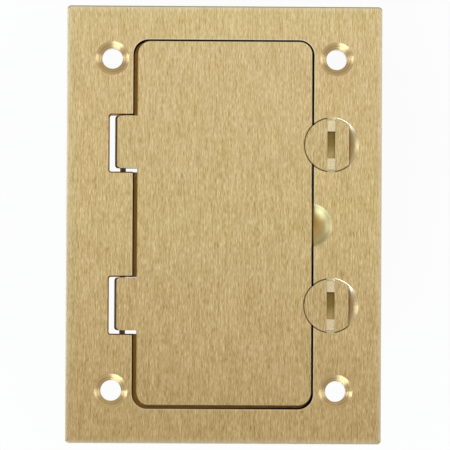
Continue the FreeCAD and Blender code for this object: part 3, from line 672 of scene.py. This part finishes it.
def carryRound(name, middle, half, corner, section, looped, perCorner=14):
    # a point is its corner's arc centre plus (corner radius + out) times the unit vector at
    # the path's angle, at the section's height; four quarter turns with straight runs between
    angle = (np.arange(4)[:, None] + np.linspace(0, 1, perCorner)) * math.pi / 2
    signs = np.array([(1, 1), (-1, 1), (-1, -1), (1, -1)])
    centre = np.array(middle[:2]) + signs * (np.array(half) - corner)
    out, height = np.array(section).T
    reach = corner + out
    points = np.stack([
        centre[:, 0, None, None] + np.cos(angle)[..., None] * reach,
        centre[:, 1, None, None] + np.sin(angle)[..., None] * reach,
        np.broadcast_to(middle[2] + height, (4, perCorner, len(out))),
    ], axis=-1).reshape(-1, 3) * mm
    number = np.arange(4 * perCorner * len(out)).reshape(4 * perCorner, len(out))
    ahead = np.roll(number, -1, axis=0)
    if looped:
        quads = [number, ahead, np.roll(ahead, -1, axis=1), np.roll(number, -1, axis=1)]
    else:
        quads = [number[:, :-1], ahead[:, :-1], ahead[:, 1:], number[:, 1:]]
    faces = np.stack(quads, axis=-1).reshape(-1, 4).tolist()
    if not looped:
        faces += [number[::-1, 0].tolist(), number[:, -1].tolist()]
    mesh = bpy.data.meshes.new(name)
    mesh.from_pydata(points.tolist(), [], faces)
    mesh.polygons.foreach_set("use_smooth", np.ones(len(faces), dtype=bool))
    mesh.update()
    return mesh


def addPiece(name, meshes, material):
    # the meshes become one piece that rides on the cover
    joined = bmesh.new()
    for mesh in meshes:
        joined.from_mesh(mesh)
    mesh = meshes[0]
    joined.to_mesh(mesh)
    joined.free()
    mesh.name = name
    mesh.materials.append(material)
    piece = bpy.data.objects.new(name, mesh)
    bpy.context.scene.collection.objects.link(piece)
    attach(piece, "cover")
    return piece


def roundOver(out, height, radius, start, end, steps=6):
    # points on an arc about (out, height), with the angles in degrees
    turn = np.radians(np.linspace(start, end, steps))
    return list(zip(out + radius * np.cos(turn), height + radius * np.sin(turn)))


lidSeal = {
    "corner": 7.65,
    "width": 3.4,
    "skirt": 0.5,       # height of the flat band under the bead
    "edge": 0.12,       # radius of the band's edges
    "bead": 0.55,       # radius of the bead
}
low, high = boxOf("lid_gasket")
wide, edge, skirt = lidSeal["width"], lidSeal["edge"], lidSeal["skirt"]
section = [
    *roundOver(-edge, edge, edge, -90, 0, 3),
    *roundOver(-edge, skirt - edge, edge, 0, 90, 3),
    *roundOver(-wide / 2, high[2] - low[2] - lidSeal["bead"], lidSeal["bead"], 0, 180, 11),
    *roundOver(edge - wide, skirt - edge, edge, 90, 180, 3),
    *roundOver(edge - wide, edge, edge, 180, 270, 3),
]
middle = (*(low + high)[:2] / 2, low[2])
bead = carryRound("bead", middle, (high - low)[:2] / 2, lidSeal["corner"], section, True)
lidSealBead = addPiece("lid_seal_bead", [bead], mould["gasketRubber"])
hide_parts("lid_gasket")

outletRim = {
    "half": (11.6, 11.4),
    "corner": 5.5,
    "width": 0.9,
    "edge": 0.2,        # radius of its edges
    "rise": 0.02,       # height of their middles over the face
    "sink": 0.05,       # how far its feet go into the face
    "below": 0.55,      # how far its middle is below the outlet's own
}
faceTop = boxOf("receptacle_face")[1][2]
edge, wide, rise, sink = (outletRim[key] for key in ("edge", "width", "rise", "sink"))
section = [
    (0, -sink), *roundOver(-edge, rise, edge, 0, 90, 5),
    *roundOver(edge - wide, rise, edge, 90, 180, 5), (-wide, -sink),
]
rims = []
for name in ("upper_outlet", "lower_outlet"):
    middle = (0, mountOf(name)["pos_m"][1] / mm - outletRim["below"], faceTop)
    rims.append(carryRound("rim", middle, outletRim["half"], outletRim["corner"], section, True))
addPiece("outlet_rims", rims, mould["facePlastic"])

backRib = {
    "places": (-24, -12, 0, 12, 24),
    "half": (11.0, 0.9),
    "corner": 0.88,
    "rise": 0.7,
    "edge": 0.35,       # radius of its outer edge
    "sink": 0.2,        # how far it goes into the housing
}
backLevel = boxOf("receptacle_housing")[0][2]
edge = backRib["edge"]
section = [*roundOver(-edge, edge - backRib["rise"], edge, -80, 0), (0, backRib["sink"])]
ribs = [
    carryRound("rib", (0, y, backLevel), backRib["half"], backRib["corner"], section, False, 6)
    for y in backRib["places"]
]
addPiece("housing_ribs", ribs, mould["housingPlastic"])
print("gasket bead, outlet rims and back ribs made")


# camera

view = {
    "place": (-0.021356, -0.035277, 1.199291),
    "turn": (1.6849, -1.0472, 0.2886),          # degrees about X, Y and Z
    "lens": 364.86,
    "farthest": 50,
}
cameraData = bpy.data.cameras.new("camera")
cameraData.lens = view["lens"]
cameraData.clip_end = view["farthest"]
camera = bpy.data.objects.new("camera", cameraData)
camera.location = view["place"]
camera.rotation_euler = [math.radians(angle) for angle in view["turn"]]
bpy.context.scene.collection.objects.link(camera)
bpy.context.scene.camera = camera


# lamps, world and floor

lamps = {
    # name: place, target, width, height, watts, colour
    "overhead": ((0.02, 0.28, 0.82), (0, 0.02, 0), 0.60, 0.50, 0.70, (0.92, 0.98, 1.0)),
    "west": ((-0.80, 0.08, 0.24), (0, 0, 0), 0.30, 0.40, 2.2, (0.82, 0.92, 1.0)),
    "southWest": ((-0.33, -0.66, 0.34), (0, 0, 0), 0.54, 0.50, 5.0, (0.76, 0.89, 1.0)),
    "east": ((0.80, 0.10, 0.26), (0, 0, 0), 0.40, 0.50, 1.9, (0.82, 0.92, 1.0)),
}
skyStops = [    # from the ground up
    (0.0, (0.62, 0.61, 0.60)), (0.45, (0.645, 0.64, 0.635)), (1.0, (0.65, 0.645, 0.64)),
]
floorPlan = {
    "size": 6.0,
    "drop": 0.05 * mm,
    "colour": (0.8, 0.8, 0.8),
    "roughness": 0.9,
    "white": 0.93,      # share of plain white where it is seen, which leaves the shadow in
}


def addLamp(name, place, target, width, height, watts, colour):
    data = bpy.data.lights.new(name, "AREA")
    data.shape = "RECTANGLE"
    data.size, data.size_y = width, height
    data.energy = watts
    data.color = colour
    lamp = bpy.data.objects.new(name, data)
    lamp.location = place
    aim = np.array(target) - np.array(place)
    lamp.rotation_euler = [
        math.atan2(math.hypot(aim[0], aim[1]), -aim[2]), 0,
        math.atan2(aim[1], aim[0]) - math.pi / 2,
    ]
    lamp.visible_camera = False
    bpy.context.scene.collection.objects.link(lamp)


for name, settings in lamps.items():
    addLamp(name, *settings)

world = bpy.data.worlds.new("studio")
bpy.context.scene.world = world
world.use_nodes = True
tree = world.node_tree
split = addNode(tree, "SeparateXYZ")
feed(tree, split.inputs[0], addNode(tree, "TexCoord").outputs["Generated"])
feed(tree, tree.nodes["Background"].inputs["Color"], ramp(tree, split.outputs[2], skyStops))

floorMesh = bpy.data.meshes.new("floor")
corners = np.array([(-1, -1), (1, -1), (1, 1), (-1, 1)]) * floorPlan["size"] / 2
floorLevel = cadLow[2] - floorPlan["drop"]
floorMesh.from_pydata([(x, y, floorLevel) for x, y in corners], [], [(0, 1, 2, 3)])
floor = bpy.data.objects.new("floor", floorMesh)
bpy.context.scene.collection.objects.link(floor)
material, tree, shader = newMaterial("paleFloor")
shader.inputs["Base Color"].default_value = (*floorPlan["colour"], 1)
shader.inputs["Roughness"].default_value = floorPlan["roughness"]
glow = addNode(tree, "Emission")
path = addNode(tree, "LightPath")
seen = path.outputs["Is Camera Ray"]
for ray in ("Is Glossy Ray", "Is Transmission Ray"):
    seen = doMath(tree, "MAXIMUM", seen, path.outputs[ray])
blend = addNode(tree, "MixShader")
feed(tree, blend.inputs[0], doMath(tree, "MULTIPLY", seen, floorPlan["white"]))
feed(tree, blend.inputs[1], shader.outputs[0])
feed(tree, blend.inputs[2], glow.outputs[0])
fromBelow = addNode(tree, "MixShader")
feed(tree, fromBelow.inputs[0], addNode(tree, "NewGeometry").outputs["Backfacing"])
feed(tree, fromBelow.inputs[1], blend.outputs[0])
feed(tree, fromBelow.inputs[2], addNode(tree, "BsdfTransparent").outputs[0])
feed(tree, tree.nodes["Material Output"].inputs["Surface"], fromBelow.outputs[0])
floorMesh.materials.append(material)
floor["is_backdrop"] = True

bpy.context.scene.view_settings.view_transform = "Standard"
print("camera, lamps and floor placed")

low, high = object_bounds()
